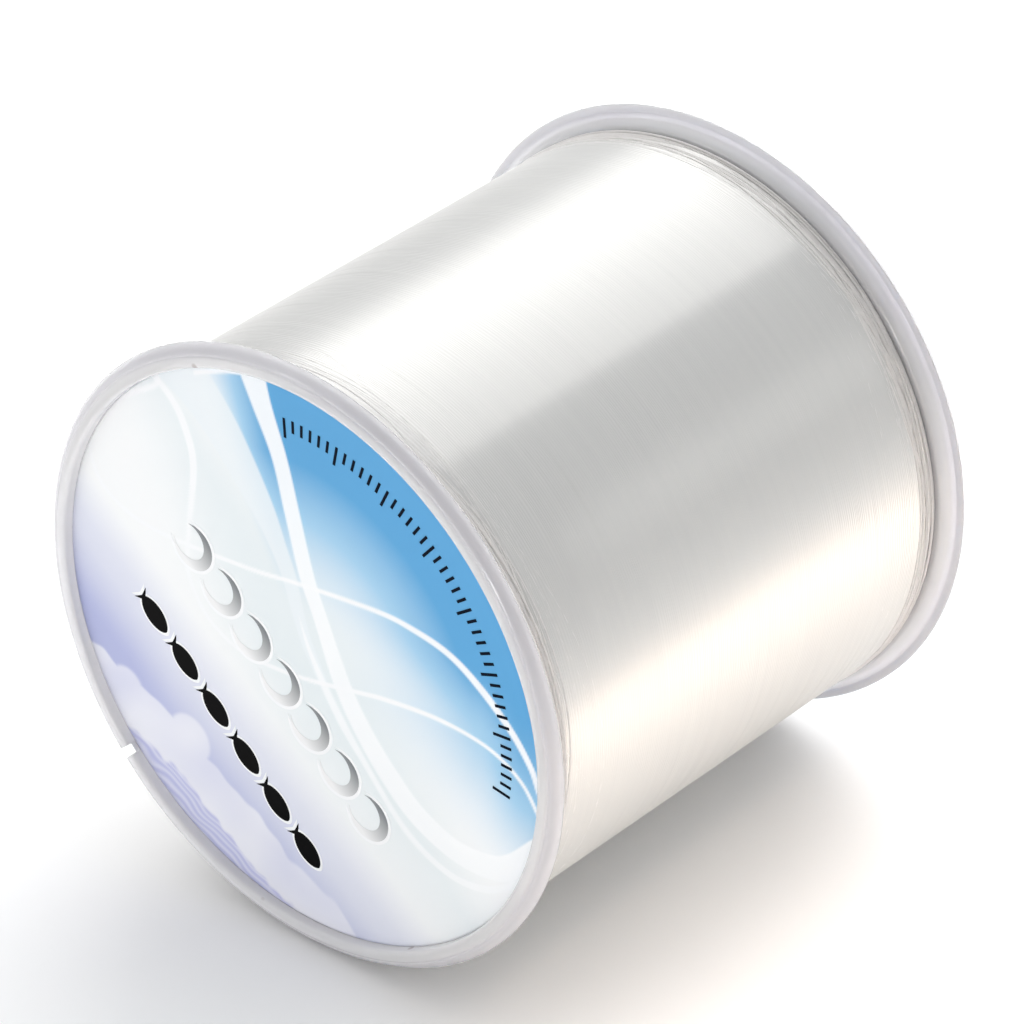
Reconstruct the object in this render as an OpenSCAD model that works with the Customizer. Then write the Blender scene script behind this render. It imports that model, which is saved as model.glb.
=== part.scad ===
// Spool of clear nylon fishing line, quarter-pound size, lying on its side.
//
// The spindle axis runs along Y through the origin, which is the middle of the spool.
// The front end, with the full label disc, is at -Y and the rear end, with the open bore, at +Y.
// Every round section below is drawn as (radius, distance along the axis).

/* [Spool] */
// Diameter over the flange rims
flange_d = 65; // [60:0.5:80]
// Length of the spool from crest to crest of its rims
spool_l = 62; // [45:0.5:80]
// Diameter of the barrel that the line is wound on
barrel_d = 31.5; // [30:0.5:40]
// Diameter of the bore for the spindle
bore_d = 13; // [8:0.5:13]

/* [Walls] */
// Thickness of each flange between the label recess and the line
web_t = 1.2; // [1:0.1:1.6]
// Wall of the barrel
barrel_wall = 1.8; // [1.6:0.1:2.2]
// Wall of the hub sleeve around the bore
sleeve_wall = 1.5; // [1:0.1:2]
// Number of ribs between the hub sleeve and the barrel
rib_n = 6; // [3:1:8]
// Thickness of each rib
rib_t = 1.2; // [0.8:0.1:2]

/* [Rim] */
// Width of the rim outside the label
rim_w = 2.25; // [2.1:0.05:3]
// Thickness of the rim's outer edge, from its crest back along the axis
rim_t = 1.35; // [1:0.05:1.8]
// Radius of the rounding from the crest to the outer edge
rim_round = 1.9; // [1.8:0.1:2.2]
// Radius of the small rounding between the crest and the label recess
lip_round = 0.2; // [0.1:0.05:0.2]
// Width of the flat band behind the outer edge
back_w = 0.8; // [0.4:0.1:1.2]
// Depth of the label recess below the crest
recess = 1.36; // [1:0.02:1.6]

/* [Line slit] */
// Width of the slit in the front rim that holds the end of the line
slit_w = 1.1; // [0.8:0.05:2]
// Rounding where the slit's sides meet the outer edge
slit_flare = 0.5; // [0.2:0.05:0.8]
// Height of rim that the slit leaves standing beside the label
slit_lip = 0.7; // [0.3:0.05:0.9]
// Place of the slit round the front rim, counted from +X towards +Z, in degrees
slit_angle = 222; // [0:1:359]

/* [Snap joint] */
// Length of the spigot that enters the rear half of the barrel
spigot_l = 8; // [5:0.5:10]
// Radius of the snap ridge round the spigot
ridge_r = 0.25; // [0.15:0.05:0.3]

/* [Line] */
// How far the winding stays below the rim
line_below_rim = 2.2; // [1.5:0.1:6]
// How much lower the winding is where it meets the flanges
end_drop = 0.5; // [0.2:0.1:1]
// Length over which the winding falls towards each flange
end_taper = 2.5; // [1:0.5:4]

/* [Labels] */
// Thickness of the laminated labels
label_t = 0.2; // [0.1:0.05:0.3]
// Gap between a label's edge and the lip
label_gap = 0.1; // [0.05:0.05:0.3]
// Diameter of the hole in the rear label
rear_hole_d = 22; // [14:1:28]

/* [Starting tape] */
// Width of the tape that holds the first turn to the barrel
tape_w = 12; // [8:1:20]
// Length of the tape round the barrel, in degrees
tape_turn = 70; // [40:5:120]
// Thickness of the tape
tape_t = 0.15; // [0.1:0.05:0.2]
// Gap between the tape and the front flange
tape_gap = 1; // [0.5:0.5:5]

/* [Hidden] */
$fn = 128;

rim_r = flange_d / 2;
end_y = spool_l / 2;             // crest of each rim
floor_y = end_y - recess;        // floor of each label recess
web_y = floor_y - web_t;         // inner face of each flange, where the line stops
back_y = end_y - rim_t;          // back of the rim's outer edge
lip_r = rim_r - rim_w;           // wall round the label
crest_r = rim_r - sqrt(pow(rim_round, 2) - pow(rim_round - rim_t, 2));  // where the outer rounding starts
back_r = rim_r - back_w;
slit_y = floor_y + slit_lip;
line_r = rim_r - line_below_rim;
barrel_r = barrel_d / 2;
barrel_in_r = barrel_r - barrel_wall;
joint_r = barrel_r - barrel_wall / 2;  // surface where spigot and socket meet
ridge_y = spigot_l / 2;
bore_r = bore_d / 2;
sleeve_r = bore_r + sleeve_wall;
rib_gap = 1;                     // ribs stop this far short of the other half
weld = 0.3;                      // how deep joined shapes of one moulding run into each other

// Turns a shape made round Z so that its axis lies along Y.
module on_spindle() {
    rotate([-90, 0, 0]) children();
}

// Section of one rim at +Y: an upright wall beside the label, a small rounding up to the crest,
// and one large rounding down to the outer edge. The back slopes in to the flange.
module rim_section() {
    translate([lip_r, web_y]) square([crest_r - lip_r, end_y - lip_round - web_y]);
    translate([lip_r + lip_round, web_y]) square([crest_r - lip_r - lip_round, end_y - web_y]);
    translate([lip_r + lip_round, end_y - lip_round]) circle(lip_round);
    intersection() {
        translate([crest_r, end_y - rim_round]) circle(rim_round);
        translate([crest_r - weld, back_y]) square([rim_w + 1, rim_t]);
    }
    polygon([[lip_r, web_y], [line_r + 0.2, web_y], [back_r, back_y],
             [back_r, back_y + weld], [lip_r, back_y + weld]]);
}

// Section of one flange at +Y, from the bore out to the rim.
module flange_section() {
    translate([bore_r, web_y]) square([lip_r + weld - bore_r, web_t]);
    rim_section();
}

// Section of a tube that starts in the flange and ends at y1.
module tube_section(r0, r1, y1) {
    translate([r0, y1]) square([r1 - r0, web_y + weld - y1]);
}

// The cut of the line slit in a rim at +Y, along +X. Its floor slopes down to the outer edge,
// and its sides are rounded where they meet that edge.
module slit_cut() {
    run = rim_w + slit_flare + 1;
    rotate([90, 0, 0]) linear_extrude(slit_w, center = true)
        polygon([[lip_r - 1, slit_y + 1], [lip_r, slit_y], [lip_r + run, slit_y - run],
                 [lip_r + run, end_y + 1], [lip_r - 1, end_y + 1]]);
    translate([0, 0, back_y - 1]) linear_extrude(rim_t + 2) difference() {
        translate([rim_r - slit_flare, -slit_w / 2 - slit_flare])
            square([slit_flare + 1, slit_w + 2 * slit_flare]);
        for (side = [-1, 1])
            translate([rim_r - slit_flare, side * (slit_w / 2 + slit_flare)]) circle(slit_flare);
    }
}

// Radial ribs from the flange down to y1.
module ribs(y1) {
    for (i = [0 : rib_n - 1])
        rotate([0, 0, i * 360 / rib_n])
            translate([sleeve_r - weld, -rib_t / 2, y1])
                cube([barrel_in_r - sleeve_r + 2 * weld, rib_t, web_y + weld - y1]);
}

// Front half: flange, barrel and sleeve as far as the middle, and the spigot beyond it.
module front_half() {
    color("gainsboro") on_spindle() mirror([0, 0, 1]) difference() {
        union() {
            rotate_extrude() {
                flange_section();
                tube_section(barrel_in_r, barrel_r, 0);
                tube_section(bore_r, sleeve_r, 0);
                tube_section(barrel_in_r, joint_r, -spigot_l);
                translate([joint_r, -ridge_y]) circle(ridge_r);
            }
            ribs(rib_gap);
        }
        rotate([0, 0, -slit_angle]) slit_cut();
    }
}

// Rear half: flange, barrel with the socket for the spigot, and sleeve.
module rear_half() {
    color("gainsboro") on_spindle() union() {
        rotate_extrude() difference() {
            union() {
                flange_section();
                tube_section(barrel_in_r, barrel_r, 0);
                tube_section(bore_r, sleeve_r, 0);
            }
            translate([barrel_in_r - 1, -1]) square([joint_r - barrel_in_r + 1, spigot_l + 1]);
            translate([joint_r, ridge_y]) circle(ridge_r);
        }
        ribs(spigot_l + rib_gap);
    }
}

// All the line on the spool, as the closed shape that its turns fill.
module line_winding() {
    color("whitesmoke") on_spindle() difference() {
        rotate_extrude() polygon([
            [barrel_r, -web_y], [line_r - end_drop, -web_y], [line_r, end_taper - web_y],
            [line_r, web_y - end_taper], [line_r - end_drop, web_y], [barrel_r, web_y]]);
        tape_shape();
    }
}

// A strip of tape bent round the barrel next to the front flange.
module tape_shape() {
    rotate_extrude(angle = tape_turn)
        translate([barrel_r, tape_gap - web_y]) square([tape_t, tape_w]);
}

module starting_tape() {
    color("wheat") on_spindle() tape_shape();
}

// A label disc that lies on the floor of a recess at +Y.
module label(hole_d) {
    translate([0, 0, floor_y]) difference() {
        cylinder(h = label_t, r = lip_r - label_gap);
        if (hole_d > 0)
            translate([0, 0, -1]) cylinder(h = label_t + 2, d = hole_d);
    }
}

module front_label() {
    color("lightskyblue") on_spindle() mirror([0, 0, 1]) label(0);
}

module rear_label() {
    color("lavender") on_spindle() label(rear_hole_d);
}

front_half();
rear_half();
line_winding();
starting_tape();
front_label();
rear_label();
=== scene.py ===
"""Looks of a quarter-pound spool of clear nylon fishing line, lying on its side on a pale table."""

import bpy
import numpy as np
from mathutils import Matrix, Vector


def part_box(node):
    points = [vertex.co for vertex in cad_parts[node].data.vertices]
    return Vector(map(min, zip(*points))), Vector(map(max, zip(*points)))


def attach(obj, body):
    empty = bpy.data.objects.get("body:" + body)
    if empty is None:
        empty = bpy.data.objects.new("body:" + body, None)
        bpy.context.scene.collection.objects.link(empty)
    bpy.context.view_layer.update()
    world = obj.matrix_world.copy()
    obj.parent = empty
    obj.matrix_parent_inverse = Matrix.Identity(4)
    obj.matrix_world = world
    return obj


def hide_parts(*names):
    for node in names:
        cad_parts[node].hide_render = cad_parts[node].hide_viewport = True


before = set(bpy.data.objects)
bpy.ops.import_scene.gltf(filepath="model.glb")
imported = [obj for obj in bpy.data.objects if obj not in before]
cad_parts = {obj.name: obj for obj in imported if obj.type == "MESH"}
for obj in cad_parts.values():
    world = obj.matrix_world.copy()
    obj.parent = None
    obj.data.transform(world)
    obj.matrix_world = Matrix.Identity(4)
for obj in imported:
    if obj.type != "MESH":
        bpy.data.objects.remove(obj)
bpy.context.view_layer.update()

# ---------------------------------------------------------------------------------------------
# Camera. A long lens about half a metre away looks down at the front label from its right, with
# the spindle axis level, so that the label, the whole winding and the rear rim all show.
# ---------------------------------------------------------------------------------------------
MM = 0.001
rim_r = (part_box("front_half")[1].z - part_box("front_half")[0].z) / 2 / MM


def aim_camera(azimuth, elevation, roll, distance):
    """Camera matrix for angles in degrees: right, up and back axes as columns, turned by roll about
    the line of sight, at distance metres from the middle of the spool."""
    az, el, tilt = np.radians([azimuth, elevation, roll])
    back = Vector((np.sin(az) * np.cos(el), -np.cos(az) * np.cos(el), np.sin(el)))
    level = Vector((np.cos(az), np.sin(az), 0))
    over = back.cross(level)
    right = np.cos(tilt) * level + np.sin(tilt) * over
    up = np.cos(tilt) * over - np.sin(tilt) * level
    turned = Matrix((right, up, back)).transposed().to_4x4()
    return Matrix.Translation(back * distance) @ turned


camera = bpy.data.objects.new("camera", bpy.data.cameras.new("camera"))
bpy.context.scene.collection.objects.link(camera)
bpy.context.scene.camera = camera
camera.data.lens = 207.5
camera.data.shift_x = 0.0013
camera.data.shift_y = 0.0163
camera.data.clip_start = 0.05
camera.data.clip_end = 20
camera.matrix_world = aim_camera(azimuth=41.34, elevation=33.17, roll=-0.2, distance=17.63 * rim_r * MM)


# ---------------------------------------------------------------------------------------------
# Table and light. A pale matt sheet lies under the spool, inside a white tent that is open on the
# camera's side. A wide softbox stands high behind on the left, two small ones in front of the
# label, and a warm one with a grid hangs over the sheet beside the spool.
# ---------------------------------------------------------------------------------------------
def srgb(code):
    """Linear RGBA of an sRGB hex colour, by the standard two-part transfer curve."""
    c = np.array([int(code[i:i + 2], 16) for i in (0, 2, 4)]) / 255
    linear = np.where(c <= 0.04045, c / 12.92, ((c + 0.055) / 1.055) ** 2.4)
    return (*linear.tolist(), 1.0)


def add(tree, kind, inputs=None, **settings):
    """Adds a node, sets its properties, and fills or links its sockets by name or number."""
    made = tree.nodes.new(kind)
    for name, value in settings.items():
        setattr(made, name, value)
    for socket, value in (inputs or {}).items():
        if isinstance(value, bpy.types.NodeSocket):
            tree.links.new(value, made.inputs[socket])
        else:
            made.inputs[socket].default_value = value
    return made


def material(name):
    """A node material with no nodes in it yet, and its tree."""
    made = bpy.data.materials.new(name)
    made.use_nodes = True
    made.node_tree.nodes.clear()
    return made, made.node_tree


def mesh_object(name, verts, faces, mat, smooth=True):
    """A mesh object at the origin, in metres, from an array of points in mm and one of faces."""
    mesh = bpy.data.meshes.new(name)
    mesh.from_pydata((np.asarray(verts) * MM).tolist(), [], [list(f) for f in faces])
    mesh.polygons.foreach_set("use_smooth", [smooth] * len(mesh.polygons))
    mesh.materials.append(mat)
    mesh.update()
    made = bpy.data.objects.new(name, mesh)
    bpy.context.scene.collection.objects.link(made)
    return made


# Uncoated background paper: matt, nearly white, with hardly any grain. The grain is drawn 1.1 mm
# coarse, because the real fibres are too fine to show.
sheet_mat, tree = material("matt_white_paper_sheet")
grain = add(tree, "ShaderNodeTexNoise", {"Vector": add(tree, "ShaderNodeTexCoord").outputs["Object"],
                                         "Scale": 1 / (1.1 * MM), "Detail": 2.0})
bump = add(tree, "ShaderNodeBump", {"Strength": 0.05, "Distance": 0.0001, "Height": grain.outputs[0]})
shader = add(tree, "ShaderNodeBsdfPrincipled", {"Base Color": srgb("f8f8f8"), "Roughness": 0.9,
                                                "IOR": 1.45, "Normal": bump.outputs[0]})
add(tree, "ShaderNodeOutputMaterial", {"Surface": shader.outputs[0]})
table_half = 6000
table_z = -rim_r
corners = [(x * table_half, y * table_half, table_z) for x, y in ((-1, -1), (1, -1), (1, 1), (-1, 1))]
floor = mesh_object("table_sheet", corners, [(0, 1, 2, 3)], sheet_mat, smooth=False)


def softbox(name, place, size, power, toward=(0, 0, 0), colour="ffffff", spread=180):
    """An area lamp of size (width, depth) at place, turned to the point toward, all in mm. Its grid
    keeps the light within spread degrees."""
    lamp = bpy.data.lights.new(name, "AREA")
    lamp.shape = "RECTANGLE"
    lamp.size, lamp.size_y = (side * MM for side in size)
    lamp.energy = power
    lamp.color = srgb(colour)[:3]
    lamp.spread = np.radians(spread)
    holder = bpy.data.objects.new(name, lamp)
    bpy.context.scene.collection.objects.link(holder)
    back = (Vector(place) - Vector(toward)).to_track_quat("Z", "Y").to_matrix().to_4x4()
    holder.matrix_world = Matrix.Translation(Vector(place) * MM) @ back


softbox("softbox_back_left", (-265, 560, 620), (840, 840), 5.2)
softbox("small_softbox_front_left", (-420, -600, 260), (130, 130), 0.14)
softbox("small_softbox_front_low", (160, -680, 30), (120, 120), 0.37)
softbox("grid_softbox_over_sheet", (94, 10, 75), (64, 260), 0.105, toward=(94, 10, 0), colour="ffe9d6",
        spread=62)

# The tent gives a strength of 1.25, which falls to 0.42 in its opening. A flag on the left takes it
# down to 0.55 of that. Both have soft edges, set as cosines of the angle from their middles.
world = bpy.data.worlds.new("light_tent")
bpy.context.scene.world = world
world.use_nodes = True
tree = world.node_tree
tree.nodes.clear()
looking = add(tree, "ShaderNodeTexCoord").outputs["Generated"]
toward_camera = camera.matrix_world.to_translation().normalized()
facing = add(tree, "ShaderNodeVectorMath", {0: looking, 1: toward_camera}, operation="DOT_PRODUCT")
opening = add(tree, "ShaderNodeMapRange", {"Value": facing.outputs["Value"], "From Min": 0.35,
                                           "From Max": 0.88, "To Min": 1.25, "To Max": 0.42},
              interpolation_type="SMOOTHSTEP")
leftward = add(tree, "ShaderNodeVectorMath", {0: looking, 1: (-1, 0, 0)}, operation="DOT_PRODUCT")
flag = add(tree, "ShaderNodeMapRange", {"Value": leftward.outputs["Value"], "From Min": 0.62,
                                        "From Max": 0.9, "To Min": 1.0, "To Max": 0.55},
           interpolation_type="SMOOTHSTEP")
level = add(tree, "ShaderNodeMath", {0: opening.outputs[0], 1: flag.outputs[0]}, operation="MULTIPLY")
sky = add(tree, "ShaderNodeBackground", {"Color": srgb("ffffff"), "Strength": level.outputs[0]})
add(tree, "ShaderNodeOutputWorld", {"Surface": sky.outputs[0]})
bpy.context.scene.view_settings.view_transform = "Standard"


# ---------------------------------------------------------------------------------------------
# Spool halves. Two mouldings of milky polystyrene, snapped together inside the barrel: flange,
# rounded rim, half of the barrel and hub sleeve. The front rim has a slit for the line's end.
# ---------------------------------------------------------------------------------------------
end_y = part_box("rear_half")[1].y / MM         # crest of the rim
label_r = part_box("front_label")[1].x / MM
label_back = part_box("rear_label")[0].y / MM   # floor of the label recess
line_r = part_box("line_winding")[1].x / MM
web_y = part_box("line_winding")[1].y / MM      # inner face of the flange
label_gap = 0.04
lip_r = label_r + label_gap
lip_round = 0.4
rim_t = 1.35                # outer edge of the rim, along the axis
rim_round = 1.9             # rounding from the crest to the outer edge
groove_d = 0.07             # depth of a fine groove in that rounding
groove_at = 0.42            # its place, in radians from the crest
groove_w = 0.05             # its half width, in radians
back_w = 0.8                # flat band behind the outer edge
slope_foot_r = line_r + 0.2     # where the slope behind that band meets the flange
barrel_r = 15.75
barrel_wall = 1.8
barrel_in_r = barrel_r - barrel_wall
joint_r = barrel_r - barrel_wall / 2
bore_r = 6.5
sleeve_r = bore_r + 1.5
spigot_l = 8
slit_w = 1.1
slit_flare = 0.5            # rounding of the slit's outer corners
slit_lip = 0.7              # rim left standing beside the label
slit_angle = 222            # from +X towards +Z


def rounded(corners, steps=5):
    """Path through corners (radius, y, fillet). A fillet's centre lies on the corner's bisector at
    fillet / sin(half the corner), and its points turn evenly from one tangent point to the other."""
    path = []
    spots = np.array([c[:2] for c in corners], float)
    for i, (r, y, fillet) in enumerate(corners):
        spot = spots[i]
        back = spots[i - 1] - spot
        on = spots[(i + 1) % len(corners)] - spot
        back /= np.linalg.norm(back)
        on /= np.linalg.norm(on)
        half = np.arccos(np.clip(back @ on, -1, 1)) / 2
        if fillet <= 0 or half > 1.55:
            path.append(spot)
            continue
        centre = spot + (back + on) / np.linalg.norm(back + on) * fillet / np.sin(half)
        a0, a1 = (np.arctan2(*(spot + way * fillet / np.tan(half) - centre)[::-1]) for way in (back, on))
        turn = (a1 - a0 + np.pi) % (2 * np.pi) - np.pi
        for a in a0 + turn * np.linspace(0, 1, steps):
            path.append(centre + fillet * np.array([np.cos(a), np.sin(a)]))
    return np.array(path)


def subdivided(path, longest):
    """The same closed path with every side split evenly so that none is over longest."""
    out = []
    for p, q in zip(path, np.roll(path, -1, axis=0)):
        n = max(1, int(np.ceil(np.linalg.norm(q - p) / longest)))
        out.extend(p + (q - p) * t for t in np.arange(n) / n)
    return np.array(out)


def turned_faces(rows, columns):
    """Quads of a grid that is closed both along the section and round the axis."""
    i, j = np.meshgrid(np.arange(rows), np.arange(columns), indexing="ij")
    i1, j1 = (i + 1) % rows, (j + 1) % columns
    return np.stack([i * columns + j, i * columns + j1, i1 * columns + j1, i1 * columns + j],
                    -1).reshape(-1, 4)


def facing_out(verts, faces):
    """The faces, turned over if the closed surface's signed volume comes out negative."""
    a, b, c, d = (verts[faces[:, k]] for k in range(4))
    volume = np.einsum("ij,ij->i", a, np.cross(b, c)).sum() + np.einsum("ij,ij->i", a, np.cross(c, d)).sum()
    return faces if volume > 0 else faces[:, ::-1]


def half_section(front):
    """Closed section of one half at +Y: recess floor, rim, back of the flange, barrel and sleeve. The
    rim's arc has radius rim_round, less a bell-shaped dip of groove_d where the groove is. The front
    half's barrel ends in a spigot that passes the middle, and the rear half's in a socket for it."""
    crest_r = rim_r - np.sqrt(rim_round ** 2 - (rim_round - rim_t) ** 2)
    arc = np.arccos(1 - rim_t / rim_round)
    outer = []
    for a in np.linspace(0, arc, 40):
        around = rim_round - groove_d * np.exp(-((a - groove_at) / groove_w) ** 2)
        outer.append((crest_r + around * np.sin(a), end_y - rim_round + around * np.cos(a), 0))
    joint_y, joint_round = (-spigot_l, 0.25) if front else (spigot_l, 0.1)
    return rounded([(bore_r, label_back, 0.25), (lip_r, label_back, 0.12), (lip_r, end_y, lip_round), *outer,
                    (rim_r, end_y - rim_t, 0.12), (rim_r - back_w, end_y - rim_t, 0.25),
                    (slope_foot_r, web_y, 0.5), (barrel_r, web_y, 0.3), (barrel_r, 0, 0.1),
                    (joint_r, 0, 0.1), (joint_r, joint_y, joint_round), (barrel_in_r, joint_y, 0.1),
                    (barrel_in_r, web_y, 0.4), (sleeve_r, web_y, 0.4), (sleeve_r, 0, 0.1), (bore_r, 0, 0.1)])


def cut_slit(r, y, across):
    """Where a moulding point goes at the slit. Inside the slit it drops to a floor that slopes at
    45 degrees from the lip, and beside it the outer corner is held inside a round flare."""
    over = ((r - lip_r) + (y - (label_back + slit_lip))) / np.sqrt(2)
    floor_r, floor_y = r - over / np.sqrt(2), y - over / np.sqrt(2)
    inside = (np.abs(across) < slit_w / 2) & (over > 0) & (y > web_y - 0.01)
    beside = np.clip(slit_w / 2 + slit_flare - np.abs(across), 0, slit_flare)
    limit = rim_r - slit_flare + np.sqrt(slit_flare ** 2 - beside ** 2)
    near = (np.abs(across) < slit_w / 2 + slit_flare) & (r > lip_r)
    r = np.where(near & ~inside, np.minimum(r, limit), r)
    return np.where(inside, floor_r, r), np.where(inside, floor_y, y)


def spool_half(name, front):
    """Carries the section round the Y axis. The front half's columns crowd at its slit, with one
    just inside each of the slit's walls."""
    longest_side = 3
    columns = 480
    slit_columns = 12
    section = subdivided(half_section(front), longest_side)
    angle = np.linspace(0, 360, columns, endpoint=False)
    if front:
        across = np.array([-1, 1])[:, None] * np.linspace(0, slit_w / 2 + slit_flare, slit_columns)
        edges = np.array([-1, 1]) * (slit_w / 2 - 0.01)
        extra = np.degrees(np.append(across.ravel(), edges) / rim_r) + slit_angle
        angle = np.unique(np.append(angle, extra).round(5))
    turn = np.radians(angle)
    r, y = (np.repeat(section[:, k:k + 1], len(turn), 1) for k in (0, 1))
    if front:
        r, y = cut_slit(r, y, rim_r * np.radians(angle - slit_angle)[None])
        y = -y
    verts = np.stack([r * np.cos(turn), y, r * np.sin(turn)], -1).reshape(-1, 3)
    faces = facing_out(verts, turned_faces(len(section), len(turn)))
    return mesh_object(name, verts, faces, spool_mat)


# Polystyrene, injection moulded in a polished tool: glossy and half clear, so it looks milky and
# takes up the light around it. Its haze comes in clouds of 8 mm, and specks of burnt melt with a
# radius of 0.2 to 0.4 mm sit in it, one to each 6 mm or so. Towards the outer edge the colour is
# painted greyer, a painted shade for the darker reflections along the rim's edge. The faint waves
# in its gloss are drawn 1.4 mm long, coarser than real ones, so that they show.
edge_shade_from, edge_shade_full = 31.1, 31.9   # radius where the outer edge starts to turn grey, and is grey
spool_mat, tree = material("milky_polystyrene_moulded")
place = add(tree, "ShaderNodeTexCoord").outputs["Object"]
haze = add(tree, "ShaderNodeTexNoise", {"Vector": place, "Scale": 1 / (8 * MM), "Detail": 3.0})
tint = add(tree, "ShaderNodeValToRGB", {"Fac": haze.outputs[0]})
tint.color_ramp.elements[0].position = 0.3
tint.color_ramp.elements[0].color = srgb("f5f3fa")
tint.color_ramp.elements[1].position = 0.7
tint.color_ramp.elements[1].color = srgb("fbfafe")
flat = add(tree, "ShaderNodeVectorMath", {0: place, 1: (1.0, 0.0, 1.0)}, operation="MULTIPLY")
out = add(tree, "ShaderNodeVectorMath", {0: flat.outputs[0]}, operation="LENGTH")
# Painted shade: the colour turns greyer over the last 0.8 mm of radius before the rim's outer edge.
painted_edge_shade = add(tree, "ShaderNodeMapRange", {"Value": out.outputs["Value"], "From Min": edge_shade_from * MM,
                                         "From Max": edge_shade_full * MM})
tint = add(tree, "ShaderNodeMix", {0: painted_edge_shade.outputs[0], 6: tint.outputs[0], 7: srgb("e0dfe4")},
           data_type="RGBA")
speck = add(tree, "ShaderNodeTexVoronoi", {"Vector": place, "Scale": 1 / (6.25 * MM), "Randomness": 1.0})
rare = add(tree, "ShaderNodeMapRange", {"Value": speck.outputs["Distance"], "From Min": 0.035,
                                        "From Max": 0.07, "To Min": 0.5, "To Max": 0.0})
dirt = add(tree, "ShaderNodeMix", {0: rare.outputs[0], 6: tint.outputs["Result"], 7: srgb("8a7868")},
           data_type="RGBA")
waves = add(tree, "ShaderNodeTexNoise", {"Vector": place, "Scale": 1 / (1.4 * MM), "Detail": 1.0})
bump = add(tree, "ShaderNodeBump", {"Strength": 0.1, "Distance": 0.0001, "Height": waves.outputs[0]})
shader = add(tree, "ShaderNodeBsdfPrincipled", {
    "Base Color": dirt.outputs["Result"], "Roughness": 0.09, "IOR": 1.59, "Normal": bump.outputs[0],
    "Transmission Weight": 0.36, "Subsurface Weight": 0.8, "Subsurface Scale": 0.002,
    "Subsurface Radius": (1.0, 1.0, 1.0)})
add(tree, "ShaderNodeOutputMaterial", {"Surface": shader.outputs[0]})

for name, front in (("front_half_moulding", True), ("rear_half_moulding", False)):
    moulding = spool_half(name, front)
    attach(moulding, "root")
    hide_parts("front_half" if front else "rear_half")


# ---------------------------------------------------------------------------------------------
# Line. One length of clear nylon, extruded and drawn, wound in fine turns that lie side by side.
# The turns crowd and cross where the winder reverses at each flange.
# ---------------------------------------------------------------------------------------------
strand_d = 0.28
line_low = 0.5              # how much lower the winding is at the flanges
line_taper = 2.5            # length over which it falls
rng = np.random.default_rng(7)


def smooth_noise(n, width):
    """Even random values averaged over width neighbours, scaled to about one."""
    raw = rng.normal(size=n + 2 * width)
    kernel = np.hanning(2 * width + 1)
    return np.convolve(raw, kernel / np.sqrt((kernel ** 2).sum()), "same")[width:-width]


def wound_turns():
    """Rows of points round the spool, four to each turn, closed at the barrel. A row's radius is the
    winding's, less the fall towards the flanges, plus a cosine ridge for each turn and slow swells.
    Its y wanders by slow sine waves round the spool. Swells and wander grow in the last 4 mm before
    a flange, and the wander stops within the last 1.5 mm."""
    turns = int(2 * web_y / strand_d)
    columns = 118
    rows = np.linspace(-web_y, web_y, turns * 4 + 1)
    turn = np.linspace(0, 2 * np.pi, columns, endpoint=False)
    y0 = rows[:, None]
    to_end = web_y - np.abs(y0)
    settled = np.clip(to_end / 4, 0, 1)
    wander = sum(0.12 * smooth_noise(len(rows), w)[:, None] * np.sin(k * turn + rng.uniform(0, 6.28))
                 for k, w in ((1, 30), (2, 20), (3, 14), (5, 10)))
    y = y0 + wander * np.clip(to_end / 1.5, 0, 1) * (1.6 - settled)
    per_turn = smooth_noise(len(rows), 3)[:, None]
    swell = sum(smooth_noise(len(rows), w)[:, None] * np.cos(k * turn + rng.uniform(0, 6.28))
                for k, w in ((1, 24), (2, 12), (4, 8)))
    fall = line_low * (1 - np.clip(to_end / line_taper, 0, 1)) ** 1.5
    # The ridges are drawn much lower than round turns would make them, because turns this fine are
    # seen as one even sheen. The whole relief lies 0.06 mm inside the winding's own radius.
    ridge = 0.01 * np.cos(2 * np.pi * y0 / strand_d)
    r = line_r - 0.06 + ridge - fall + (0.001 * per_turn + 0.0015 * swell) * (3 - 2 * settled)
    r = np.vstack([r, np.full((2, columns), barrel_r + 0.02)])
    y = np.vstack([np.broadcast_to(y, (len(rows), columns)), np.full((1, columns), web_y),
                   np.full((1, columns), -web_y)])
    verts = np.stack([r * np.cos(turn), y, r * np.sin(turn)], -1).reshape(-1, 3)
    return verts, facing_out(verts, turned_faces(len(rows) + 2, columns))


# Nylon monofilament, drawn clear and wound tight: white light scatters between the turns, and their
# smooth backs together give a long soft sheen across them. The faint streaks along the turns are
# drawn 25 mm long and 0.7 mm wide, over two or three turns at a time, because one turn is too fine.
line_mat, tree = material("clear_nylon_line_wound")
place = add(tree, "ShaderNodeTexCoord").outputs["Object"]
streaks = (1 / (25 * MM), 1 / (0.7 * MM), 1 / (25 * MM))
stretch = add(tree, "ShaderNodeMapping", {"Vector": place, "Scale": streaks})
streak = add(tree, "ShaderNodeTexNoise", {"Vector": stretch.outputs[0], "Scale": 1.0, "Detail": 3.0})
tint = add(tree, "ShaderNodeValToRGB", {"Fac": streak.outputs[0]})
tint.color_ramp.elements[0].position = 0.3
tint.color_ramp.elements[0].color = srgb("bfc1c3")
tint.color_ramp.elements[1].position = 0.7
tint.color_ramp.elements[1].color = srgb("c5c7c8")
body = add(tree, "ShaderNodeBsdfPrincipled", {"Base Color": tint.outputs[0], "Roughness": 0.35,
                                              "IOR": 1.53})
along = add(tree, "ShaderNodeTangent", direction_type="RADIAL", axis="Y")
sheen = add(tree, "ShaderNodeBsdfAnisotropic", {"Color": srgb("fffdf8"), "Roughness": 0.45,
                                                "Anisotropy": 0.85, "Tangent": along.outputs[0]})
blend = add(tree, "ShaderNodeMixShader", {0: 0.5, 1: body.outputs[0], 2: sheen.outputs[0]})
add(tree, "ShaderNodeOutputMaterial", {"Surface": blend.outputs[0]})

winding = mesh_object("wound_line", *wound_turns(), line_mat)


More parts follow.
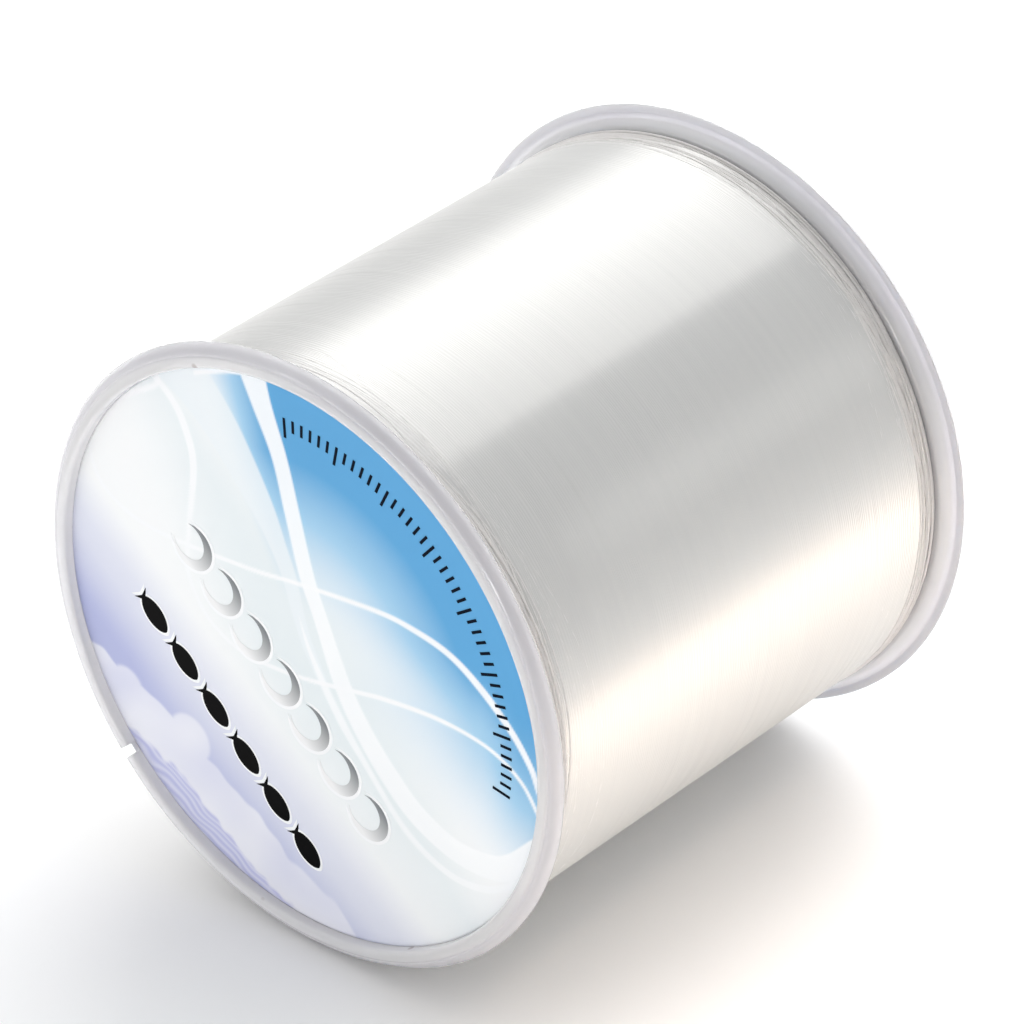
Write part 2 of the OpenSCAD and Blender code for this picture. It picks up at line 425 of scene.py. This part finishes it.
def crossing(side, start, span, depth, lift):
    """A strand that leaves the flange, runs over the turns and comes back. Along it the distance
    from the flange is 0.2 mm plus depth * sin^2, and the height over the turns is lift * the square
    root of sin. Its middle otherwise lies half a strand and 0.05 mm under the winding's surface."""
    n_along, n_round = 48, 5
    t = np.linspace(0, 1, n_along)
    off = 0.2 + depth * np.sin(np.pi * t) ** 2
    fall = line_low * (1 - np.clip(off / line_taper, 0, 1)) ** 1.5
    middle = line_r - 0.05 - strand_d / 2 - fall + lift * np.sin(np.pi * t).clip(0) ** 0.5
    a = (start + span * t)[:, None]
    way = np.linspace(0, 2 * np.pi, n_round, endpoint=False)
    r = middle[:, None] + strand_d / 2 * np.cos(way)
    y = side * (web_y - off)[:, None] + strand_d / 2 * np.sin(way)
    verts = np.stack([r * np.cos(a), y, r * np.sin(a)], -1).reshape(-1, 3)
    i, j = np.meshgrid(np.arange(n_along - 1), np.arange(n_round), indexing="ij")
    quads = np.stack([i * n_round + j, i * n_round + (j + 1) % n_round,
                      (i + 1) * n_round + (j + 1) % n_round, (i + 1) * n_round + j], -1).reshape(-1, 4)
    quads = facing_out(verts, quads)
    caps = [tuple(range(n_round)), tuple(range(len(verts) - n_round, len(verts)))[::-1]]
    flipped = quads[0][1] == 1
    return verts, [*map(tuple, quads.tolist()), *(c[::-1] if flipped else c for c in caps)]


def merged(parts):
    """One array of points and one list of faces from several (points, faces) parts."""
    starts = np.cumsum([0] + [len(v) for v, f in parts])
    return (np.vstack([v for v, f in parts]),
            [tuple(i + s for i in q) for s, (v, f) in zip(starts, parts) for q in f])


# The same nylon as a single strand: clear, so it passes light on to its neighbours and shows as a
# pale thread with a soft gloss.
strand_mat, tree = material("clear_nylon_line_single")
body = add(tree, "ShaderNodeBsdfPrincipled", {"Base Color": srgb("f3f1f0"), "Roughness": 0.3, "IOR": 1.53})
passed = add(tree, "ShaderNodeBsdfTranslucent", {"Color": srgb("fffefd")})
blend = add(tree, "ShaderNodeMixShader", {0: 0.5, 1: body.outputs[0], 2: passed.outputs[0]})
add(tree, "ShaderNodeOutputMaterial", {"Surface": blend.outputs[0]})

# Many strands stay close to a flange, most of them at the rear one, and those that reach least far
# over the turns climb highest. The wide ones reach farther and lie flat.
edge_reach = 3.8
wide_count = 45
edge = []
for side, count, high in ((-1, 50, 0.3), (1, 110, 0.6)):
    for depth in rng.uniform(0.1, edge_reach, count):
        edge.append(crossing(side, rng.uniform(0, 2 * np.pi), rng.uniform(1.2, 4.5), depth,
                             rng.uniform(0.0, high) * (1 - depth / 3.9) ** 1.5))
wide = [crossing(side, rng.uniform(0, 2 * np.pi), rng.uniform(1.2, 4.0), rng.uniform(1.2, 8),
                 rng.uniform(-0.05, 0.01)) for side in (-1, 1) for i in range(wide_count)]
strays = mesh_object("crossing_strands", *merged(edge + wide), strand_mat)
for piece in (winding, strays):
    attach(piece, "root")
    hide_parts("line_winding")


# ---------------------------------------------------------------------------------------------
# Front label. A round of white paper, offset printed in blue and lavender with white ribbons and
# a bank of cloud, filmed with gloss and stuck down in the recess. Its marks are plain shapes.
# ---------------------------------------------------------------------------------------------
label_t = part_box("rear_label")[1].y / MM - label_back
face_y = -(label_back + label_t)
ink_t = 0.006
mark_right = np.array([-0.72, 0.69])    # way the rows of marks run over the label
mark_up = np.array([-0.69, -0.72])
lavender_steps = [9, 13.6, 16.1, 18.6, 21, 22], [0, 0.38, 0.47, 0.68, 0.94, 1]
cloud_edge = np.array([(-30, -9.2), (-26, -11.0), (-22.9, -12.4), (-19.6, -13.3), (-16, -15.2),
                       (-11.8, -17.8), (-8.8, -19.6), (-5.8, -21.1), (-3.7, -22.7), (-2.2, -24.2),
                       (0.9, -25.4), (3.9, -26.7), (6.6, -29.6), (12, -36)], float)
cloud_heads = ((-15.2, -16.0, 2.9), (-23.6, -13.6, 2.4))
foot_edge = np.array([(-30, -16.5), (-23.9, -18.1), (-19.3, -19.6), (-16, -21.1), (-13.3, -23.3),
                      (-10.3, -25.1), (-7.3, -27.5), (-2.8, -29.6), (6, -33)], float)


def smooth(x, low, high):
    """0 below low, 1 above high, and 3t^2 - 2t^3 between."""
    t = np.clip((x - low) / (high - low), 0, 1)
    return t * t * (3 - 2 * t)


def ink(code):
    """Linear RGB of an sRGB hex colour as an array."""
    return np.array(srgb(code)[:3])


def mix(a, b, weight):
    """Colour a where weight is 0, b where it is 1, and their blend between."""
    return a + (b - a) * weight[..., None]


def curve(points, steps):
    """Catmull-Rom curve through rows of points, with steps samples to each span."""
    p = np.vstack([2 * points[0] - points[1], points, 2 * points[-1] - points[-2]])
    t = (np.arange(steps) / steps)[:, None]
    spans = [0.5 * (2 * b + (c - a) * t + (2 * a - 5 * b + 4 * c - d) * t ** 2
                    + (3 * b - a - 3 * c + d) * t ** 3) for a, b, c, d in zip(p, p[1:], p[2:], p[3:])]
    return np.vstack([*spans, points[-1:]])


def wave_noise(x, z, seed, length):
    """Sum of nine sine waves with seeded directions, and wavelengths round length, about -1 to 1."""
    source = np.random.default_rng(seed)
    total = 0
    for way, phase, stretch in source.uniform(size=(9, 3)) * (2 * np.pi, 2 * np.pi, 1):
        k = 2 * np.pi / (length * (0.6 + stretch))
        total = total + np.sin(k * (x * np.cos(way) + z * np.sin(way)) + phase) / 4
    return total


def front_print(x, z):
    """Colour of the front label at x, z: fades of blue and lavender over pale paper, the bank of
    cloud, and the white ribbons on top."""
    ground = with_cloud(sky_fades(x, z), x, z)
    return with_ribbons(ground, front_ribbons, x, z)


def sky_fades(x, z):
    """Pale paper, whitest away from a band through the middle. Blue grows outwards over a sector on
    the upper right, first to a light and then to a full blue. Lavender grows towards the lower left
    by lavender_steps, read by the distance that way."""
    r = np.hypot(x, z)
    around = np.degrees(np.arctan2(z, x))
    pale = mix(ink("e8f0f3"), ink("f9fbfc"), smooth(np.abs(0.75 * x + 0.66 * z - 2) + 0.3 * r, 3, 18))
    sector = smooth(around, -32, 14) * (1 - smooth(around, 96, 116))
    blue = np.clip((r - 5) / 17, 0, 1) ** 1.5 * sector
    blue = blue * (1 - 0.45 * smooth(-z, -9.5, -2) * (1 - smooth(r, 22, 28)))
    light_blue = mix(pale, ink("a4cfec"), np.clip(2 * blue, 0, 1))
    ground = mix(light_blue, ink("5aa5d9"), np.clip(2 * blue - 1, 0, 1))
    lavender = np.interp(-(0.60 * x + 0.78 * z), *lavender_steps) * (1 - 0.12 * smooth(x, -24, -16))
    return mix(ground, ink("b7bde3"), lavender)


def with_cloud(ground, x, z):
    """The ground with a bank of cloud below the curve cloud_edge, whose edge is roughened by waves,
    and round heads of (x, z, radius) on it. Below foot_edge it has a darker foot of wavy hatching."""
    crest = np.interp(x, *curve(cloud_edge, 12).T) + 0.25 * wave_noise(x, z, 3, 3)
    cloud = smooth(crest - z, -0.15, 0.35)
    for head_x, head_z, head_r in cloud_heads:
        cloud = np.maximum(cloud, smooth(head_r - np.hypot(x - head_x, z - head_z), -0.1, 0.5))
    # The cloud's printed tone is made lighter further below its crest: painted light that evens out the
    # darker lower part of the label.
    shade = np.clip(0.3 + 0.16 * wave_noise(x, z, 5, 9) - 0.04 * (crest - z), 0, 1)
    ground = mix(ground, mix(ink("f4f5fc"), ink("d0d3ee"), shade), 0.9 * cloud)
    foot = np.interp(x, *curve(foot_edge, 12).T) + 0.35 * wave_noise(x, z, 8, 2.5)
    hatch = 0.5 + 0.5 * np.sin(7 * (x * 0.5 + z) + 3 * wave_noise(x, z, 11, 4))
    dark = smooth(foot - z, -0.2, 0.5) * smooth(-x, -4, 2)
    return mix(ground, mix(ink("b4b8e4"), ink("dadcf4"), hatch), 0.85 * dark)


def with_ribbons(ground, ribbons, x, z):
    """The ground with (rows, colour, strength) ribbons laid over it in order."""
    for rows, colour, strength in ribbons:
        ground = mix(ground, ink(colour), strength * ribbon_cover(np.array(rows, float), x, z))
    return ground


def ribbon_cover(rows, x, z):
    """How far each point is inside a ribbon of (x, z, width) rows, 0 to 1 over a soft edge."""
    path = curve(rows, 14)
    cover = np.zeros(len(x))
    for a, b in zip(path, path[1:]):
        span = b - a
        t = np.clip(((x - a[0]) * span[0] + (z - a[1]) * span[1]) / (span[:2] @ span[:2]), 0, 1)
        away = np.hypot(x - a[0] - t * span[0], z - a[1] - t * span[1])
        cover = np.maximum(cover, smooth((a[2] + t * span[2]) / 2 - away, -0.12, 0.14))
    return cover


def printed(name, verts, faces, colours):
    """A label mesh with a colour at every point from colours(x, z)."""
    made = mesh_object(name, verts, faces, label_mat)
    colour = np.ones((len(verts), 4))
    colour[:, :3] = colours(verts[:, 0], verts[:, 2])
    store = made.data.attributes.new("print", "FLOAT_COLOR", "POINT")
    store.data.foreach_set("color", colour.ravel().astype(np.float32))
    return made


def round_label(n):
    """A closed disc at -Y whose face is an n by n grid. The grid's square rings become round rings: r
    is the larger of |u| and |v|, and the smaller one, over r, gives the angle. A wall goes down from
    the last ring to the floor of the recess, where one flat face closes the disc."""
    u, v = np.meshgrid(np.linspace(-1, 1, n), np.linspace(-1, 1, n), indexing="ij")
    flat = np.abs(u) > np.abs(v)
    r = np.where(flat, u, v)
    a = np.where(flat, np.pi / 4 * v / u, np.pi / 2 - np.pi / 4 * u / v)
    x, z = label_r * r * np.cos(a), label_r * r * np.sin(a)
    top = np.stack([x, np.full_like(x, face_y), z], -1).reshape(-1, 3)
    i, j = (k.ravel() for k in np.meshgrid(np.arange(n - 1), np.arange(n - 1), indexing="ij"))
    quads = np.stack([i * n + j, (i + 1) * n + j, (i + 1) * n + j + 1, i * n + j + 1], -1)
    k = np.arange(n - 1)
    rim = np.concatenate([k * n, (n - 1) * n + k, (n - 1 - k) * n + n - 1, n - 1 - k])
    under = top[rim] * (1, 0, 1) - (0, label_back, 0)
    low = n * n + np.arange(len(rim))
    wall = np.stack([np.roll(rim, -1), rim, low, np.roll(low, -1)], -1)
    verts = np.vstack([top, under])
    faces = np.vstack([quads, wall])
    if np.cross(verts[quads[0, 1]] - verts[quads[0, 0]], verts[quads[0, 2]] - verts[quads[0, 0]])[1] > 0:
        return verts, [*map(tuple, faces[:, ::-1].tolist()), tuple(low.tolist())]
    return verts, [*map(tuple, faces.tolist()), tuple(low[::-1].tolist())]


def ring_label(hole_r):
    """A closed flat ring at +Y: its section, a row of points across the face and the two corners
    under it, is turned round the spindle."""
    n_turn = 480
    rings = np.linspace(hole_r, label_r, 120)
    section = np.vstack([np.stack([rings, np.full(len(rings), label_back + label_t)], -1),
                         [(label_r, label_back), (hole_r, label_back)]])
    turn = np.linspace(0, 2 * np.pi, n_turn, endpoint=False)
    r, y = section[:, :1], np.repeat(section[:, 1:], n_turn, 1)
    verts = np.stack([r * np.cos(turn), y, r * np.sin(turn)], -1).reshape(-1, 3)
    return verts, facing_out(verts, turned_faces(len(section), n_turn))


def film(name, colour, roughness=0.3, gloss=0.2):
    """Principled ink under a gloss film. colour is a hex code or makes a socket from the tree."""
    made, tree = material(name)
    paint = colour(tree) if callable(colour) else srgb(colour)
    shader = add(tree, "ShaderNodeBsdfPrincipled", {"Base Color": paint, "Roughness": roughness,
                                                    "IOR": 1.5, "Specular IOR Level": gloss})
    add(tree, "ShaderNodeOutputMaterial", {"Surface": shader.outputs[0]})
    return made


# Coated paper, offset printed and filmed with polypropylene: its colours look clear and even, and
# the film gives a faint broad sheen. Bare paper shows as the marks' white outline. The solid inks
# are nearly black and reflect less, so that they stay crisp.
label_mat = film("gloss_filmed_paper_printed",
                 lambda tree: add(tree, "ShaderNodeAttribute", attribute_name="print").outputs["Color"])
halo_mat = film("gloss_filmed_paper_unprinted", "fbfdff")
black_mat = film("gloss_filmed_black_ink", "060506", gloss=0.03)
navy_mat = film("gloss_filmed_navy_ink", "081120", gloss=0.03)


def emboss_tint(tree):
    """Grey at the marks' feet and nearly white at their tops, from 2.1 to 6.6 mm across the row."""
    place = add(tree, "ShaderNodeTexCoord").outputs["Object"]
    across = add(tree, "ShaderNodeVectorMath", {0: place, 1: (*mark_up[:1], 0, *mark_up[1:])},
                 operation="DOT_PRODUCT")
    fade = add(tree, "ShaderNodeMapRange", {"Value": across.outputs["Value"], "From Min": 2.1 * MM,
                                            "From Max": 6.6 * MM})
    ramp = add(tree, "ShaderNodeValToRGB", {"Fac": fade.outputs[0]})
    ramp.color_ramp.elements[0].color = srgb("74797d")
    ramp.color_ramp.elements[1].color = srgb("f4f5f6")
    return ramp.outputs[0]


emboss_mat = film("gloss_filmed_grey_fade_ink", emboss_tint)


def flat_mark(outline, lift):
    """Closed flat mark from an outline of (x, z) points, lift layers of ink high. The outline is
    turned to run the way round that makes its face look out of the label."""
    outline = np.asarray(outline)
    area = (outline[:, 0] * np.roll(outline[:, 1], -1) - outline[:, 1] * np.roll(outline[:, 0], -1)).sum()
    outline = outline if area > 0 else outline[::-1]
    n = len(outline)
    top = np.insert(outline, 1, face_y - lift * ink_t, axis=1)
    verts = np.vstack([top, np.insert(outline, 1, face_y, axis=1)])
    sides = [(i, n + i, n + (i + 1) % n, (i + 1) % n) for i in range(n)]
    return verts, [tuple(range(n)), tuple(range(2 * n - 1, n - 1, -1)), *sides]


def joined(name, parts, mat):
    """One piece of the front label's print, from (points, faces) parts, fixed and named with it."""
    made = mesh_object(name, *merged(parts), mat, smooth=False)
    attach(made, "root")
    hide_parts("front_label")


# Centre lines of the white ribbons, as rows of (x, z, width). All but the short cap line start at
# the label's top and end at its right edge.
sweep = [(-17.2, 27.6, 6.3), (-13.4, 25.5, 5.9), (-9.9, 22.4, 5.1), (-7.0, 18.7, 4.3), (-4.4, 15.0, 3.3),
         (-2.6, 11.7, 2.4), (-1.2, 8.6, 2.0), (-0.2, 5.0, 1.7), (1.3, 1.2, 1.5), (4.6, -4.2, 1.1),
         (8.6, -9.0, 0.8), (12.3, -13.0, 0.8), (15.6, -15.1, 0.8), (19.0, -16.1, 0.8), (22.3, -15.8, 0.8),
         (25.0, -14.5, 0.7), (28.5, -11.6, 0.6)]
low_sweep = [(-0.2, 5.0, 0.0), (1.3, 1.2, 0.6), *sweep[9:]]
broad = [(-5.6, 30.4, 3.6), (-4.2, 26.6, 2.7), (-2.1, 21.6, 2.1), (-0.6, 15.9, 2.1), (1.0, 9.9, 2.1),
         (2.7, 5.7, 2.0), (5.3, -0.6, 2.4), (7.9, -4.7, 2.6), (11.0, -8.2, 2.8), (14.5, -11.1, 2.8),
         (19.2, -12.9, 2.7), (23.7, -12.7, 2.8), (26.4, -11.3, 2.6), (29.5, -8.0, 2.4)]
loop_high = [(-18.6, 25.4, 0.5), (-17.6, 23.5, 0.6), (-20.8, 21.1, 0.6), (-24.2, 18.4, 0.6),
             (-26.6, 15.3, 0.5), (-27.1, 12.0, 0.5), (-25.1, 8.4, 0.5), (-19.3, 6.6, 0.5),
             (-7.3, 7.4, 0.5), (0.3, 8.6, 0.5), (9.6, 9.8, 0.6), (14.1, 9.8, 0.7), (18.7, 9.0, 0.8),
             (22.6, 6.9, 0.95), (26.2, 3.9, 0.9), (28.6, 0.9, 0.8), (29.6, -1.5, 0.7), (30.9, -4.6, 0.6)]
loop_low = [(-19.6, 25.0, 0.6), (-16.0, 22.6, 0.9), (-14.2, 19.9, 1.0), (-13.3, 16.0, 0.9), (-14.2, 8.7, 0.6),
            (-14.6, 4.0, 0.5), (-13.3, 0.9, 0.5), (-11.2, -1.2, 0.5), (-7.5, -2.5, 0.5), (-1.0, -2.2, 0.5),
            (6.9, -0.5, 0.5), (10.5, 0.3, 0.55), (16.7, 1.1, 0.55), (21.7, 1.0, 0.5), (25.0, 0.2, 0.5),
            (27.7, -1.5, 0.5), (29.6, -4.2, 0.5), (31.0, -6.4, 0.5)]
cap_line = [(-12.6, 26.6, 0.5), (-10.0, 27.8, 0.5), (-7.0, 28.9, 0.5), (-4.0, 29.6, 0.5)]
front_ribbons = ((sweep[:11], "edf4f8", 0.8), (low_sweep, "fafdff", 0.85), (loop_high, "fbfdff", 0.9),
                 (loop_low, "fbfdff", 0.9), (cap_line, "fbfdff", 0.9), (broad, "fafdff", 0.92))
paper = printed("front_label_paper", *round_label(300), front_print)
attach(paper, "root")
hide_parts("front_label")


def on_row(shape, start, along, scale=1.0):
    """Points of a shape in the marks' own axes, moved along the row from start and scaled."""
    return start + along * mark_right + scale * (shape[:, :1] * mark_right + shape[:, 1:] * mark_up)


def row_of(shape, start, step, count, lift, scale=1.0):
    """Flat marks of one shape, count of them, step mm apart along the row from start."""
    return [flat_mark(on_row(shape, start, step * i, scale), lift) for i in range(count)]


# A fish is a lens of two arcs with a forked tail, and a ripple is a crescent of two arcs.
t = np.linspace(0.12, 1, 14)
back_arc = np.stack([2.1 * np.cos(np.pi * t), 1.25 * np.sin(np.pi * t) ** 1.2], -1)
tail = np.array([(2.6, -1.1), (2.25, 0), (2.6, 1.1)])
fish = np.vstack([tail, back_arc, (back_arc * (1, -1))[::-1][1:]])
a = np.linspace(np.radians(50), np.radians(310), 28)
ripple = np.vstack([2.5 * np.stack([np.cos(a), np.sin(a)], -1),
                    (0.75, 0) + 2.05 * np.stack([np.cos(a), np.sin(a) * 0.93], -1)[::-1]])
fish_start = np.array([1.2, -20.9]) + 1.5 * mark_up
fish_step, fish_count = 5.4, 6
ripple_start = np.array([9.6, -13.0]) + 1.9 * mark_up
ripple_step, ripple_count = 5.1, 7
halo_lift, mark_lift = 5, 6     # layers of ink
joined("front_label_halo", row_of(ripple, ripple_start, ripple_step, ripple_count, halo_lift, scale=1.14)
       + row_of(fish, fish_start, fish_step, fish_count, halo_lift, scale=1.16), halo_mat)
joined("front_label_ripples", row_of(ripple, ripple_start, ripple_step, ripple_count, mark_lift), emboss_mat)
joined("front_label_fish", row_of(fish, fish_start, fish_step, fish_count, mark_lift), black_mat)

# The scale's ticks are short strips that point to the middle, and every sixth one is longer.
tick_half = 0.15
tick_foot, tick_end, long_end = 26.3, 25.0, 24.2
ticks = []
for i, a in enumerate(np.radians(np.linspace(-8, 93, 43))):
    out, over = np.array([np.cos(a), np.sin(a)]), np.array([-np.sin(a), np.cos(a)]) * tick_half
    low, high = tick_foot * out, (long_end if i % 6 == 0 else tick_end) * out
    ticks.append(flat_mark([low - over, low + over, high + over, high - over], mark_lift))
joined("front_label_scale", ticks, navy_mat)


# ---------------------------------------------------------------------------------------------
# Rear label. A ring of the same filmed paper, die cut and stuck down round the open bore, printed
# in a plain fade of blue with a few ribbons.
# ---------------------------------------------------------------------------------------------
rear_hole_r = 11


def rear_print(x, z):
    """Pale near the hole and blue at the edge, most of all towards +X, with lavender towards -X and
    -Z, two fine circles, and the ribbons on top."""
    r = np.hypot(x, z)
    ground = mix(ink("c6d5de"), ink("3f88c0"), smooth(r + 0.3 * x, 16, 36))
    ground = mix(ground, ink("989dce"), 0.9 * smooth(-0.7 * x - 0.7 * z, 12, 28))
    for ring in (12.4, 28.6):
        ground = mix(ground, ink("eef3f6"), smooth(0.25 - np.abs(r - ring), -0.15, 0.15))
    return with_ribbons(ground, rear_ribbons, x, z)


rear_ribbons = (([(-31, 9, 3.4), (-20, 17, 3.0), (-4, 20, 2.6), (12, 16, 2.2), (22, 6, 1.8), (26, -8, 1.4),
                  (25, -20, 1.2)], "e4edf2", 0.85),
                ([(-30, 2, 0.8), (-21, 9, 0.8), (-6, 15, 0.8), (10, 14, 0.8), (19, 8, 0.8), (28, -2, 0.8)],
                 "eef3f6", 0.9),
                ([(-28, -12, 0.8), (-14, -20, 1.0), (2, -21, 1.1), (16, -15, 1.0), (30, -5, 0.8)],
                 "e4edf2", 0.9))
disc = printed("rear_label_paper", *ring_label(rear_hole_r), rear_print)
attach(disc, "root")
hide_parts("rear_label")


# ---------------------------------------------------------------------------------------------
# Starting tape. A strip of clear adhesive tape, coated and slit, holds the first turn of the line
# to the barrel, so it lies under the whole winding.
# ---------------------------------------------------------------------------------------------
# Polypropylene film with an acrylic adhesive: half clear, glossy and slightly yellow.
tape_mat, tree = material("clear_acrylic_tape")
shader = add(tree, "ShaderNodeBsdfPrincipled", {"Base Color": srgb("e8dcc0"), "Roughness": 0.2, "IOR": 1.48,
                                                "Transmission Weight": 0.5})
add(tree, "ShaderNodeOutputMaterial", {"Surface": shader.outputs[0]})
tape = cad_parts["starting_tape"]
tape.data.materials.clear()
tape.data.materials.append(tape_mat)
